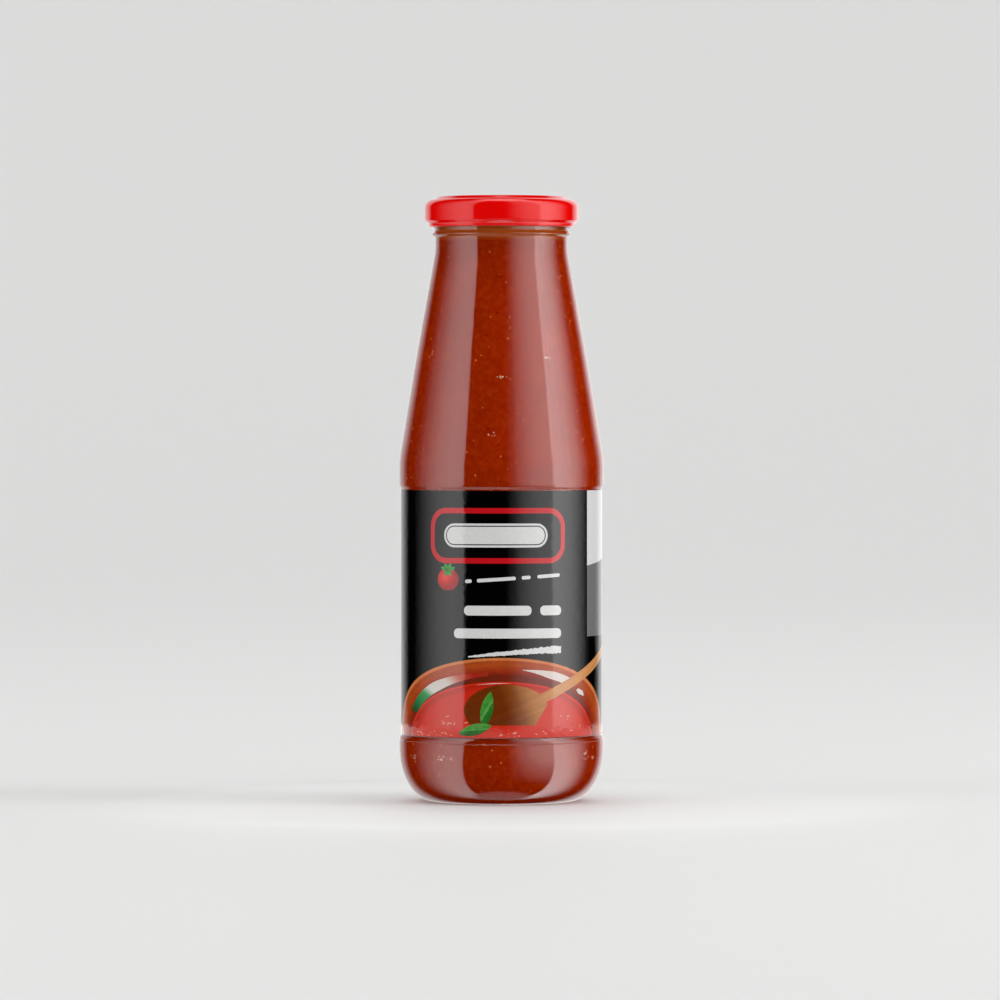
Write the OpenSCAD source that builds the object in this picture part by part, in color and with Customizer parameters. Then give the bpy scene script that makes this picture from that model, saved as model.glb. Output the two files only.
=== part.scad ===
// Passata bottle: a round glass bottle with a recessed label panel, a long tapering shoulder
// and a twist-off finish, filled with sieved tomato, closed by a pressed metal lid and wrapped
// in one paper label.
// The bottle stands on z = 0 with its axis on Z. Its front faces -Y.

/* [Body] */
// Outer diameter of the body, above and below the label panel
body_d = 76; // [64:0.5:92]
// Height of the curved heel, from the ground to the straight wall
heel_h = 20; // [14:0.5:24]
// How far the heel curves in, from the straight wall to the bearing ring
heel_w = 12.6; // [10:0.2:17]
// Height of the full-width band between the heel and the label panel
low_band_h = 3.6; // [2:0.1:12]
// Height of the full-width band between the label panel and the shoulder
top_band_h = 9.5; // [7:0.1:16]

/* [Label panel] */
// Height of the flat panel that takes the label
panel_h = 91.6; // [60:0.2:120]
// Depth of the panel below the body's full width
panel_depth = 0.7; // [0.4:0.05:1.2]
// Height over which the wall rolls in to the panel, at each end
roll_h = 1.2; // [1:0.1:2.5]
// Radius of the rolled edge beside the panel
roll_r = 2.6; // [0.5:0.1:3]

/* [Shoulder and neck] */
// Height of the tapering shoulder
shoulder_h = 77.6; // [60:0.2:100]
// How far the shoulder swells out halfway up, beyond a straight taper
shoulder_crown = 0.3; // [0.1:0.05:1]
// Radius that blends the body into the shoulder
shoulder_r = 36; // [15:1:60]
// Outer diameter of the neck
neck_d = 49.2; // [44:0.2:58]
// Height of the straight neck, from the shoulder to the carrying ring
neck_h = 5.2; // [4:0.1:12]
// Radius that blends the shoulder into the neck
neck_r = 26; // [15:1:40]

/* [Finish] */
// How far the finish, the collar that the lid closes over, stands out from the neck
finish_out = 0.3; // [0.1:0.05:0.8]
// How far the carrying ring stands out from the finish
ring_out = 1.2; // [0.6:0.1:2]
// Height of the ring's underside, from the neck to its tip
ring_under_h = 1; // [0.6:0.1:2]
// Height of the ring's sloping top, from its tip to the finish
ring_over_h = 1.3; // [1:0.1:2.4]
// Number of thread starts, and of lugs on the lid
starts = 4; // [3:1:6]
// Length of each thread, as an angle
thread_arc = 56; // [30:1:58]
// How far the threads stand out from the finish
thread_out = 1.1; // [0.8:0.1:1.6]
// Height of each thread at its root
thread_h = 1.5; // [1:0.1:2]
// Slope of the threads' upper and lower sides, as a height
thread_draft = 0.3; // [0.1:0.05:0.4]
// Radius of the two edges of the rim
rim_r = 0.9; // [0.4:0.1:1]

/* [Glass] */
// Thickness of the side wall
wall = 2.6; // [2:0.1:3.2]
// Thickness of the base above the bearing ring
base_t = 4.2; // [3:0.1:7]
// Width of the flat ring that the bottle stands on
bearing_w = 1.8; // [1:0.1:4]
// Rise of the hollow under the base
push_up = 3.2; // [1:0.1:6]
// Rise of the inner floor's middle above its edge
floor_rise = 2.6; // [1:0.1:5]

/* [Filling] */
// Empty height between the filling and the rim
headspace = 7; // [3:0.5:14]

/* [Label] */
// Thickness of the label paper
label_t = 0.15; // [0.1:0.01:0.25]
// Width of the lap where the label's two ends meet at the back
lap_w = 8; // [3:0.5:15]

/* [Lid] */
// Height of the lid from its lower edge to its shoulder
skirt_h = 10.3; // [8.6:0.1:14]
// Thickness of the lid's metal and lacquer
lid_t = 0.3; // [0.2:0.05:0.5]
// Radius between the skirt and the top
lid_edge_r = 3; // [1:0.1:3.3]
// Radius of the wire-like curl round the lid's lower edge
curl_r = 0.7; // [0.65:0.05:1.1]
// How far the skirt draws in to its curl
skirt_in = 1; // [0.5:0.1:1.2]
// Height over which the skirt draws in
skirt_in_h = 1; // [0.8:0.1:1.5]
// How far in from the skirt the raised middle of the top begins
raised_in = 5.2; // [4.9:0.1:14]
// Height of the raised middle above the shoulder
raised_h = 1.1; // [0.5:0.05:2]
// Width of the slope around the raised middle
raised_slope = 1.5; // [1:0.1:1.8]
// Length of each lug, as an angle
lug_arc = 34; // [16:1:50]

/* [Fits] */
// Space between the filling and the glass
fill_gap = 0.1; // [0.05:0.05:0.3]
// Thickness of the glue between the label and the glass
glue_gap = 0.05; // [0.02:0.01:0.1]
// Thickness of the glue in the label's lap
lap_gap = 0.04; // [0.02:0.01:0.06]
// Bare glass between the label and each end of its panel
label_margin = 0.4; // [0.2:0.1:3]
// Height between the rim and the underside of the lid's shoulder
seat_gap = 0.2; // [0.1:0.05:0.3]
// Radial space between the threads and the curl
curl_gap = 0.2; // [0.1:0.05:0.5]
// Space between each lug and the thread above it
lug_gap = 0.3; // [0.1:0.05:0.6]
// Radial space between each lug and the finish
lug_play = 0.3; // [0.1:0.05:0.5]
// Height between the carrying ring's tip and the lid's lower edge
ring_gap = 2.7; // [2.5:0.1:6]

/* [Detail] */
// Largest turn between two facets of a rounded corner, in degrees
arc_step = 9; // [3:1:15]
// Number of facets along the heel, the hollow and the floor
curve_steps = 14; // [8:1:30]
// Number of facets along the label's strip
strip_steps = 156; // [120:4:240]

/* [Hidden] */

// Radii
body_r = body_d / 2;
bearing_r = body_r - heel_w;
panel_r = body_r - panel_depth;
neck_out_r = neck_d / 2;
mouth_r = neck_out_r - wall;
finish_r = neck_out_r + finish_out;
ring_r = finish_r + ring_out;
thread_r = finish_r + thread_out;
crown_r = (body_r + neck_out_r) / 2 + shoulder_crown;
label_r = panel_r + glue_gap;
lap_arc = lap_w / label_r * 180 / PI;
curl_out_r = thread_r + curl_gap + 2 * curl_r;
curl_mid_r = curl_out_r - curl_r;
lid_r = curl_out_r + skirt_in;
lug_mid_r = finish_r + lug_play + curl_r;
raised_r = lid_r - raised_in;

// Heights, stacked from the ground
panel_z = heel_h + low_band_h + roll_h;
panel_top_z = panel_z + panel_h;
shoulder_z = panel_top_z + roll_h + top_band_h;
crown_z = shoulder_z + shoulder_h / 2;
neck_z = shoulder_z + shoulder_h;
ring_under_z = neck_z + neck_h;
ring_z = ring_under_z + ring_under_h;
lid_z = ring_z + ring_gap;
lid_shoulder_z = lid_z + skirt_h;
lid_top_z = lid_shoulder_z + raised_h;
rim_z = lid_shoulder_z - lid_t - seat_gap;
curl_z = lid_z + curl_r;
curl_top_z = curl_z + curl_r;
thread_z = curl_top_z + lug_gap;
fill_z = rim_z - headspace;

// Blends
crown_blend_r = 900;
roll_foot_r = 0.5;
ring_tip_r = 0.3;
ring_foot_r = 0.5;
raised_edge_r = 0.6;
skirt_bend_r = 0.5;
thread_root = 0.4;
lug_web_h = curl_r;

// The label's lap: the angle over which the strip climbs onto its own start
climb_arc = 5;

// The front faces -Y, so the first lug lies there and the label's lap lies at +Y
front = -90;
back = 90;

// The unit vector along v
function unit(v) = v / norm(v);

// Points of the arc of radius r that rounds corner b between a and c
function corner_arc(a, b, c, r) =
    let (
        u = unit(a - b),
        v = unit(c - b),
        half = acos(u * v) / 2,
        mid = b + unit(u + v) * r / sin(half),
        first = b + u * r / tan(half) - mid,
        last = b + v * r / tan(half) - mid,
        start = atan2(first.y, first.x),
        turn = (atan2(last.y, last.x) - start + 540) % 360 - 180,
        steps = max(2, ceil(abs(turn) / arc_step))
    )
    [for (i = [0:steps]) mid + r * [cos(start + turn * i / steps), sin(start + turn * i / steps)]];

// An outline from corners [radius, height, rounding], where a rounding of 0 keeps the corner
function rounded(path) = [
    for (i = [0:len(path) - 1])
        let (corner = path[i])
        each corner[2] == 0
            ? [[corner[0], corner[1]]]
            : corner_arc(
                [path[i - 1][0], path[i - 1][1]],
                [corner[0], corner[1]],
                [path[i + 1][0], path[i + 1][1]],
                corner[2]
            )
];

// Unrounded corners along a stretch of an ellipse
function ellipse_corners(centre, size, start, end) = [
    for (i = [0:curve_steps])
        let (a = start + (end - start) * i / curve_steps)
        [centre.x + size.x * cos(a), centre.y + size.y * sin(a), 0]
];

// Unrounded corners of a smooth swell, from its middle on the axis out to radius r
function swell_corners(r, z, rise) = [
    for (i = [0:curve_steps - 1])
        [r * i / curve_steps, z + rise * (1 + cos(180 * i / curve_steps)) / 2, 0]
];

function reversed(list) = [for (i = [len(list) - 1:-1:0]) list[i]];

// Corners of the bottle's outside, from the middle of the base to the rim
function outside() = concat(
    swell_corners(bearing_r - bearing_w, 0, push_up),
    [[bearing_r - bearing_w, 0, 0]],
    ellipse_corners([bearing_r, heel_h], [heel_w, heel_h], -90, 0),
    [
        [body_r, panel_z - roll_h, roll_r],
        [panel_r, panel_z, roll_foot_r],
        [panel_r, panel_top_z, roll_foot_r],
        [body_r, panel_top_z + roll_h, roll_r],
        [body_r, shoulder_z, shoulder_r],
        [crown_r, crown_z, crown_blend_r],
        [neck_out_r, neck_z, neck_r],
        [neck_out_r, ring_under_z, ring_foot_r],
        [ring_r, ring_z, ring_tip_r],
        [finish_r, ring_z + ring_over_h, ring_foot_r],
        [finish_r, rim_z, rim_r]
    ]
);

// Corners of the glass's inner face moved in by gap, from the middle of the floor up to z = top
function inside(gap, top, top_rounding) = concat(
    swell_corners(bearing_r, base_t + gap, floor_rise),
    ellipse_corners(
        [bearing_r, heel_h],
        [heel_w - wall - gap, heel_h - base_t - gap],
        -90,
        0
    ),
    [
        [body_r - wall - gap, shoulder_z, shoulder_r],
        [crown_r - wall - gap, crown_z, crown_blend_r],
        [mouth_r - gap, neck_z, neck_r],
        [mouth_r - gap, top, top_rounding]
    ]
);

// One thread's section, rooted in the finish
module thread_section() {
    polygon([
        [finish_r - thread_root, thread_z],
        [thread_r, thread_z + thread_draft],
        [thread_r, thread_z + thread_h - thread_draft],
        [finish_r - thread_root, thread_z + thread_h]
    ]);
}

// Turns its child about the axis by angle, once for each thread start, centred on the front
module around(angle) {
    for (i = [0:starts - 1])
        rotate([0, 0, front + 360 * i / starts - angle / 2])
            rotate_extrude(angle = angle, $fn = 96)
                children();
}

// The glass, with its open mouth and the threads of the twist-off finish
module bottle() {
    color([0.86, 0.84, 0.8], 0.4) {
        rotate_extrude($fn = 144)
            polygon(rounded(concat(outside(), reversed(inside(0, rim_z, rim_r)))));
        around(thread_arc)
            thread_section();
    }
}

// The filling, up to its level just under the rim
module passata() {
    color([0.51, 0.12, 0.01])
        rotate_extrude($fn = 144)
            polygon(rounded(concat(inside(fill_gap, fill_z, 0), [[0, fill_z, 0]])));
}

// Corners of the lid's outside, from the middle of the top down to the curl
function lid_outside() = [
    [0, lid_top_z, 0],
    [raised_r, lid_top_z, raised_edge_r],
    [raised_r + raised_slope, lid_shoulder_z, raised_edge_r],
    [lid_r, lid_shoulder_z, lid_edge_r],
    [lid_r, curl_top_z + skirt_in_h, skirt_bend_r],
    [curl_out_r, curl_top_z, skirt_bend_r - lid_t]
];

// Corners of the lid's inside, from the middle of the top down to the curl
function lid_inside() =
    let (
        shift = lid_t * tan(atan2(raised_h, raised_slope) / 2),
        bend_shift = lid_t * tan(atan2(skirt_in, skirt_in_h) / 2)
    )
    [
        [0, lid_top_z - lid_t, 0],
        [raised_r - shift, lid_top_z - lid_t, raised_edge_r - lid_t / 2],
        [raised_r + raised_slope - shift, lid_shoulder_z - lid_t, raised_edge_r],
        [lid_r - lid_t, lid_shoulder_z - lid_t, lid_edge_r - lid_t],
        [lid_r - lid_t, curl_top_z + skirt_in_h + bend_shift, skirt_bend_r - lid_t],
        [curl_out_r - lid_t, curl_top_z + bend_shift, skirt_bend_r]
    ];

// Corners of the solid curl, from the skirt's outer face round to its inner face
function curl_corners() =
    let (join = acos((curl_r - lid_t) / curl_r))
    ellipse_corners([curl_mid_r, curl_z], [curl_r, curl_r], 0, join - 360);

// One lug's section: the curl pressed inwards, with the metal that still joins it to the curl
module lug_section() {
    translate([lug_mid_r, curl_z])
        circle(r = curl_r, $fn = 32);
    translate([lug_mid_r, curl_z - lug_web_h / 2])
        square([curl_mid_r - lug_mid_r, lug_web_h]);
}

// The pressed metal lid: raised middle, shoulder, skirt and curl, with a lug for each thread
module lid() {
    color([0.84, 0.01, 0.01]) {
        rotate_extrude($fn = 144)
            polygon(rounded(concat(lid_outside(), curl_corners(), reversed(lid_inside()))));
        around(lug_arc)
            lug_section();
    }
}

// The inner face's radius where the strip has run through angle turned: it climbs onto its own start
function strip_r(turned) =
    let (climbed = max(0, min(1, (turned - 360 + climb_arc) / climb_arc)))
    label_r + (label_t + lap_gap) * (1 - cos(180 * climbed)) / 2;

// One face of the strip, lift outside its inner face, as points seen from above
function strip_face(lift) = [
    for (i = [0:strip_steps])
        let (turned = (360 + lap_arc) * i / strip_steps, a = back - lap_arc / 2 + turned)
        (strip_r(turned) + lift) * [cos(a), sin(a)]
];

// The paper label: one strip wrapped right round the panel, its ends lapped at the back
module label() {
    color([0.03, 0.03, 0.03])
        translate([0, 0, panel_z + label_margin])
            linear_extrude(height = panel_h - 2 * label_margin)
                polygon(concat(strip_face(0), reversed(strip_face(label_t))));
}

bottle();
passata();
lid();
label();
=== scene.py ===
import math
import random

import bmesh
import bpy
from mathutils import Matrix, Vector


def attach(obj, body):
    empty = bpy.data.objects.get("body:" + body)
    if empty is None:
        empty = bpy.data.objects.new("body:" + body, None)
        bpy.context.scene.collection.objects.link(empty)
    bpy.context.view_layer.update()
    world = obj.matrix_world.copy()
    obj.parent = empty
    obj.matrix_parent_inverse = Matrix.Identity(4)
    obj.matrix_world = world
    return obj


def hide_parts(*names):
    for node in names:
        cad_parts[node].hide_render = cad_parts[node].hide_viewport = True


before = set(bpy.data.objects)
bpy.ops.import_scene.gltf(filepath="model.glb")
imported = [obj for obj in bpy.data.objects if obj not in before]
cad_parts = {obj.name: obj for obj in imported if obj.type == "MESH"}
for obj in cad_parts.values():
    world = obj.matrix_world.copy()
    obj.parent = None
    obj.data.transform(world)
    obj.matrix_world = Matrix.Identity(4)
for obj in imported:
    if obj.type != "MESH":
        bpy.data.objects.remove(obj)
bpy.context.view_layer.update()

mm = 0.001
print("frame loaded")


def cornerArc(before, corner, after, radius, step=2.5):
    # points of the arc that rounds a corner of an outline, one for every few degrees
    b = Vector(corner)
    u = (Vector(before) - b).normalized()
    v = (Vector(after) - b).normalized()
    half = math.acos(max(-1, min(1, u.dot(v)))) / 2
    middle = b + (u + v).normalized() * radius / math.sin(half)
    reach = radius / math.tan(half)
    first = b + u * reach - middle
    last = b + v * reach - middle
    start = math.atan2(first.y, first.x)
    turn = (math.atan2(last.y, last.x) - start + math.pi) % (2 * math.pi) - math.pi
    steps = max(3, math.ceil(abs(math.degrees(turn)) / step))
    return [
        (middle.x + radius * math.cos(start + turn * i / steps),
         middle.y + radius * math.sin(start + turn * i / steps))
        for i in range(steps + 1)
    ]


def rounded(corners, longest=5):
    # an outline from (radius, height, rounding) corners, its long straight runs divided
    points = []
    for i, (r, z, rounding) in enumerate(corners):
        if rounding:
            points += cornerArc(corners[i - 1][:2], (r, z), corners[i + 1][:2], rounding)
        else:
            points.append((r, z))
    divided = [points[0]]
    for a, b in zip(points, points[1:]):
        run = math.dist(a, b)
        if run < 1e-4:
            continue
        pieces = max(1, math.ceil(run / longest))
        divided += [
            (a[0] + (b[0] - a[0]) * k / pieces, a[1] + (b[1] - a[1]) * k / pieces)
            for k in range(1, pieces + 1)
        ]
    return divided


def ellipseCorners(centre, size, start, end, steps):
    return [
        (centre[0] + size[0] * math.cos(math.radians(start + (end - start) * i / steps)),
         centre[1] + size[1] * math.sin(math.radians(start + (end - start) * i / steps)), 0)
        for i in range(steps + 1)
    ]


def swellCorners(radius, height, rise, steps=16):
    # a smooth swell, from its middle on the axis outwards
    return [
        (radius * i / steps, height + rise * (1 + math.cos(math.pi * i / steps)) / 2, 0)
        for i in range(steps)
    ]


def lathe(outline, steps):
    # turns an outline in millimetres about the bottle's axis into a closed solid
    bm = bmesh.new()
    verts = [bm.verts.new((r * mm, 0, z * mm)) for r, z in outline]
    edges = [bm.edges.new(pair) for pair in zip(verts, verts[1:])]
    bmesh.ops.spin(bm, geom=verts + edges, cent=(0, 0, 0), axis=(0, 0, 1),
                   angle=2 * math.pi, steps=steps, use_merge=True)
    bmesh.ops.remove_doubles(bm, verts=bm.verts, dist=1e-7)
    bmesh.ops.recalc_face_normals(bm, faces=bm.faces)
    return bm


def place(bm, name, node, materials):
    # turns a finished bmesh into a piece of the bottle
    mesh = bpy.data.meshes.new(name)
    bm.to_mesh(mesh)
    bm.free()
    piece = bpy.data.objects.new(name, mesh)
    bpy.context.scene.collection.objects.link(piece)
    for material in materials:
        mesh.materials.append(material)
    for face in mesh.polygons:
        face.use_smooth = True
    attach(piece, "root")
    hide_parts(node)
    return piece


def newMaterial(name, colour, roughness, ior=1.5, values=None):
    material = bpy.data.materials.new(name)
    material.use_nodes = True
    shader = material.node_tree.nodes["Principled BSDF"]
    shader.inputs["Base Color"].default_value = (*colour, 1)
    shader.inputs["Roughness"].default_value = roughness
    shader.inputs["IOR"].default_value = ior
    for socket, value in (values or {}).items():
        shader.inputs[socket].default_value = value
    return material, material.node_tree, shader


def addNode(tree, kind, values=None, **settings):
    node = tree.nodes.new(kind)
    for name, value in settings.items():
        setattr(node, name, value)
    for socket, value in (values or {}).items():
        node.inputs[socket].default_value = value
    return node


def addMath(tree, operation, *values):
    # each value is a socket or a number
    node = addNode(tree, "ShaderNodeMath", operation=operation)
    for socket, value in zip(node.inputs, values):
        if isinstance(value, bpy.types.NodeSocket):
            tree.links.new(value, socket)
        else:
            socket.default_value = value
    return node.outputs[0]


def fade(tree, source, start, end, to=(0, 1)):
    # goes evenly from one value to the other while the source goes from start to end
    node = addNode(tree, "ShaderNodeMapRange",
                   {"From Min": start, "From Max": end, "To Min": to[0], "To Max": to[1]})
    tree.links.new(source, node.inputs["Value"])
    return node.outputs["Result"]


def splitAxes(tree, vector):
    node = addNode(tree, "ShaderNodeSeparateXYZ")
    tree.links.new(vector, node.inputs[0])
    return node.outputs


def objectPlace(tree):
    # the piece's own coordinates, in metres
    return addNode(tree, "ShaderNodeTexCoord").outputs["Object"]


def objectNoise(tree, scale, detail=3, rough=0.55, stretch=(1, 1, 1)):
    # noise on the piece's own coordinates, its scale in lumps per metre
    mapping = addNode(tree, "ShaderNodeMapping", {"Scale": stretch})
    lumps = addNode(tree, "ShaderNodeTexNoise",
                    {"Scale": scale, "Detail": detail, "Roughness": rough})
    tree.links.new(objectPlace(tree), mapping.inputs["Vector"])
    tree.links.new(mapping.outputs["Vector"], lumps.inputs["Vector"])
    return lumps.outputs["Fac"]


def ramp(tree, source, stops, interpolation="LINEAR"):
    # stops are (place, colour) pairs; a colour may be one number
    node = addNode(tree, "ShaderNodeValToRGB")
    node.color_ramp.interpolation = interpolation
    elements = node.color_ramp.elements
    while len(elements) < len(stops):
        elements.new(0.5)
    for element, (at, colour) in zip(elements, stops):
        element.position = at
        element.color = (*(colour if isinstance(colour, tuple) else (colour,) * 3), 1)
    tree.links.new(source, node.inputs["Fac"])
    return node.outputs["Color"]


def mixColours(tree, factor, a, b, blend="MIX"):
    # a and b are sockets or colours, and factor is a socket or a number;
    # a colour mixer keeps its factor at socket 0, its colours at 6 and 7 and its result at 2
    node = addNode(tree, "ShaderNodeMix", data_type="RGBA", blend_type=blend)
    for socket, value in ((node.inputs[0], factor), (node.inputs[6], a), (node.inputs[7], b)):
        if isinstance(value, bpy.types.NodeSocket):
            tree.links.new(value, socket)
        else:
            socket.default_value = value if isinstance(value, (int, float)) else (*value, 1)
    return node.outputs[2]


def addBump(tree, shader, height, distance, strength):
    bump = addNode(tree, "ShaderNodeBump", {"Strength": strength, "Distance": distance})
    tree.links.new(height, bump.inputs["Height"])
    tree.links.new(bump.outputs["Normal"], shader.inputs["Normal"])


cameraSettings = {
    "place": (-0.00056, -2.49, 0.1494),  # metres
    "looksAt": (-0.00056, 0, 0.1121),
    "lens": 240.6,
    "clipStart": 0.05,
}

camera = bpy.data.objects.new("camera", bpy.data.cameras.new("camera"))
bpy.context.scene.collection.objects.link(camera)
camera.location = cameraSettings["place"]
camera.rotation_mode = "QUATERNION"
aim = Vector(cameraSettings["looksAt"]) - Vector(cameraSettings["place"])
camera.rotation_quaternion = aim.to_track_quat("-Z", "Y")
camera.data.lens = cameraSettings["lens"]
camera.data.clip_start = cameraSettings["clipStart"]
bpy.context.scene.camera = camera
bpy.context.scene.view_settings.view_transform = "Standard"


# a pale cove, soft light all round, and tall softboxes that only the gloss sees
studio = {
    "floorColour": (0.83, 0.83, 0.825),
    "coveRadius": 3.4,  # metres
    "coveBend": 1.4,
    "coveHeight": 4.0,
    "surround": 0.74,  # brightness that lights the bottle from all round
    "softest": 6.4,  # brightness of the strongest softbox
    # (degrees to the right of the camera's side, share of the strongest softbox)
    "softboxes": [(-118, 0), (-109, 0.03), (-98, 0.12), (-88, 0.24), (-77, 0.39), (-66, 0.48),
                  (-57, 0.53), (-44, 0.5), (-42, 0), (59, 0), (61, 0.98), (72, 0.9), (84, 0.7),
                  (94, 0.44), (105, 0.16), (113, 0.03), (120, 0)],
    # the middle box, and the sines of the heights over which it fades out below
    "middle": [(6, 0), (14, 0.07), (22, 0.21), (33, 0.36), (44, 0.48), (59, 0.52), (61, 0)],
    "middleFoot": (-0.75, -0.15),
    "behind": [(-180, 0.14), (-150, 0.13), (-142, 0.07), (-134, 0), (134, 0), (143, 0.08),
               (151, 0.2), (180, 0.18)],
    "behindHeight": (0.5, 0.68),  # sines of the heights over which it fades out
    "lean": 0.26,  # how far the softboxes' edges splay outwards below the bottle
    "overhead": 0.95,
    "overheadFrom": (0.935, 0.955),  # sines of the heights over which it begins
    "under": 0.15,
    "underFrom": (-0.93, -0.97),  # below these the gloss sees the table's sheen
    # the pale table near the bottle as its gloss sees it: height, radii and brightness
    "table": (0.022, 0.052, 0.15, 1.7),
    # lamps that light the bottle and the floor: place, width, height in metres, and watts
    "lamps": {
        "lampRight": ((2.1, -0.5, 0.9), 0.9, 1.6, 17),
        "lampLeft": ((-2.0, -0.9, 1.1), 0.9, 1.6, 5),
    },
    "lampsAim": (0, 0, 0.1),
}


def stageMesh(bm, name, material):
    # a part of the studio that isn't part of the bottle
    mesh = bpy.data.meshes.new(name)
    bm.to_mesh(mesh)
    bm.free()
    mesh.materials.append(material)
    thing = bpy.data.objects.new(name, mesh)
    bpy.context.scene.collection.objects.link(thing)
    thing.visible_diffuse = False
    thing.visible_shadow = False
    return thing


def buildCove():
    radius, bend, height = studio["coveRadius"], studio["coveBend"], studio["coveHeight"]
    outline = [(0, 0), (radius - bend, 0)] + [
        (radius - bend + bend * math.sin(math.radians(a)), bend - bend * math.cos(math.radians(a)))
        for a in range(5, 91, 5)
    ] + [(radius, height)]
    bm = bmesh.new()
    verts = [bm.verts.new((r, 0, z)) for r, z in outline]
    edges = [bm.edges.new(pair) for pair in zip(verts, verts[1:])]
    bmesh.ops.spin(bm, geom=verts + edges, cent=(0, 0, 0), axis=(0, 0, 1),
                   angle=2 * math.pi, steps=96, use_merge=True)
    bmesh.ops.remove_doubles(bm, verts=bm.verts, dist=1e-6)
    cove = stageMesh(bm, "cove", newMaterial("coveMatt", studio["floorColour"], 0.7)[0])
    for face in cove.data.polygons:
        face.use_smooth = True
    cove.visible_glossy = False


def buildWorld():
    world = bpy.data.worlds.new("studio")
    bpy.context.scene.world = world
    world.use_nodes = True
    tree = world.node_tree
    tree.nodes.clear()
    link = tree.links.new
    x, y, z = splitAxes(tree, addNode(tree, "ShaderNodeTexCoord").outputs["Generated"])
    splayed = addMath(tree, "MULTIPLY_ADD", addMath(tree, "MINIMUM", z, 0), studio["lean"], y)
    turned = addMath(tree, "ARCTAN2", x, addMath(tree, "MULTIPLY", splayed, -1))
    share = fade(tree, turned, -math.pi, math.pi)
    boxes, behind, middle = (
        ramp(tree, share, [((a + 180) / 360, v) for a, v in studio[name]])
        for name in ("softboxes", "behind", "middle")
    )
    level = fade(tree, addMath(tree, "ABSOLUTE", z), *studio["behindHeight"], (1, 0))
    gloss = mixColours(tree, 1.0, boxes, mixColours(tree, 1.0, behind, level, "MULTIPLY"), "ADD")
    foot = fade(tree, z, *studio["middleFoot"])
    gloss = mixColours(tree, 1.0, gloss, mixColours(tree, 1.0, middle, foot, "MULTIPLY"), "ADD")
    above = fade(tree, z, *studio["overheadFrom"])
    gloss = mixColours(tree, above, gloss, (studio["overhead"],) * 3)
    under = fade(tree, z, *studio["underFrom"])
    gloss = mixColours(tree, under, gloss, (studio["under"],) * 3)

    rays = addNode(tree, "ShaderNodeLightPath")
    glossLight = addNode(tree, "ShaderNodeBackground", {"Strength": studio["softest"]})
    link(gloss, glossLight.inputs["Color"])
    softLight = addNode(tree, "ShaderNodeBackground",
                        {"Color": (1, 1, 1, 1), "Strength": studio["surround"]})
    mixed = addNode(tree, "ShaderNodeMixShader")
    link(rays.outputs["Is Glossy Ray"], mixed.inputs["Fac"])
    link(softLight.outputs[0], mixed.inputs[1])
    link(glossLight.outputs[0], mixed.inputs[2])
    out = addNode(tree, "ShaderNodeOutputWorld")
    link(mixed.outputs[0], out.inputs["Surface"])


def buildTableGlow():
    height, inner, outer, bright = studio["table"]
    bm = bmesh.new()
    edge = [bm.verts.new((inner, 0, height)), bm.verts.new((outer, 0, height))]
    bmesh.ops.spin(bm, geom=edge + [bm.edges.new(edge)], cent=(0, 0, 0), axis=(0, 0, 1),
                   angle=2 * math.pi, steps=64, use_merge=True)
    glow = stageMesh(bm, "tableGlow", newMaterial("tableGlow", (0, 0, 0), 1, values={
        "Specular IOR Level": 0, "Emission Color": (1, 1, 1, 1), "Emission Strength": bright})[0])
    glow.visible_camera = False
    glow.visible_transmission = False


def buildLamps():
    for name, (at, width, high, watts) in studio["lamps"].items():
        light = bpy.data.lights.new(name, "AREA")
        light.shape = "RECTANGLE"
        light.size = width
        light.size_y = high
        light.energy = watts
        lamp = bpy.data.objects.new(name, light)
        bpy.context.scene.collection.objects.link(lamp)
        lamp.location = at
        lamp.rotation_mode = "QUATERNION"
        aimed = Vector(studio["lampsAim"]) - Vector(at)
        lamp.rotation_quaternion = aimed.to_track_quat("-Z", "Y")
        lamp.visible_camera = False
        lamp.visible_glossy = False
        lamp.visible_transmission = False


buildCove()
buildWorld()
buildTableGlow()
buildLamps()
print("studio ready")


bottle = {
    "bodyRadius": 38.0,  # millimetres, as all the sizes below
    "heelHeight": 20.0,
    "heelWidth": 12.6,
    "panelRadius": 37.3,
    "panelFrom": 24.8,
    "panelTo": 116.4,
    "rollHeight": 1.2,
    "shoulderFrom": 127.1,
    "crown": (31.6, 165.9),
    "neckRadius": 24.6,
    "neckFrom": 204.7,
    "ring": (26.1, 210.9),
    "ringUnder": 209.9,
    "finishRadius": 24.9,
    "finishFrom": 212.2,
    "rim": 223.4,
    "wall": 2.6,
    "base": 4.2,
    "bearingWidth": 1.8,
    "pushUp": 3.2,
    "floorRise": 2.6,
    # how far each bend of the outline is rounded
    "shoulderRounding": 36.0,
    "crownRounding": 900,
    "neckRounding": 26,
    "rollRounding": 2.6,
    "edgeRounding": 0.5,
    "ringRounding": 0.3,
    "rimRounding": 0.9,
}


def glassInside(gap, top, topRounding):
    # the glass's inner face moved in by gap, from the middle of the floor up to top
    b = bottle
    bearing = b["bodyRadius"] - b["heelWidth"]
    step = b["wall"] + gap
    return swellCorners(bearing, b["base"] + gap, b["floorRise"]) + ellipseCorners(
        (bearing, b["heelHeight"]), (b["heelWidth"] - step, b["heelHeight"] - b["base"] - gap),
        -90, 0, 36,
    ) + [
        (b["bodyRadius"] - step, b["shoulderFrom"], b["shoulderRounding"]),
        (b["crown"][0] - step, b["crown"][1], b["crownRounding"]),
        (b["neckRadius"] - step, b["neckFrom"], b["neckRounding"]),
        (b["neckRadius"] - step, top, topRounding),
    ]


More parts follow.
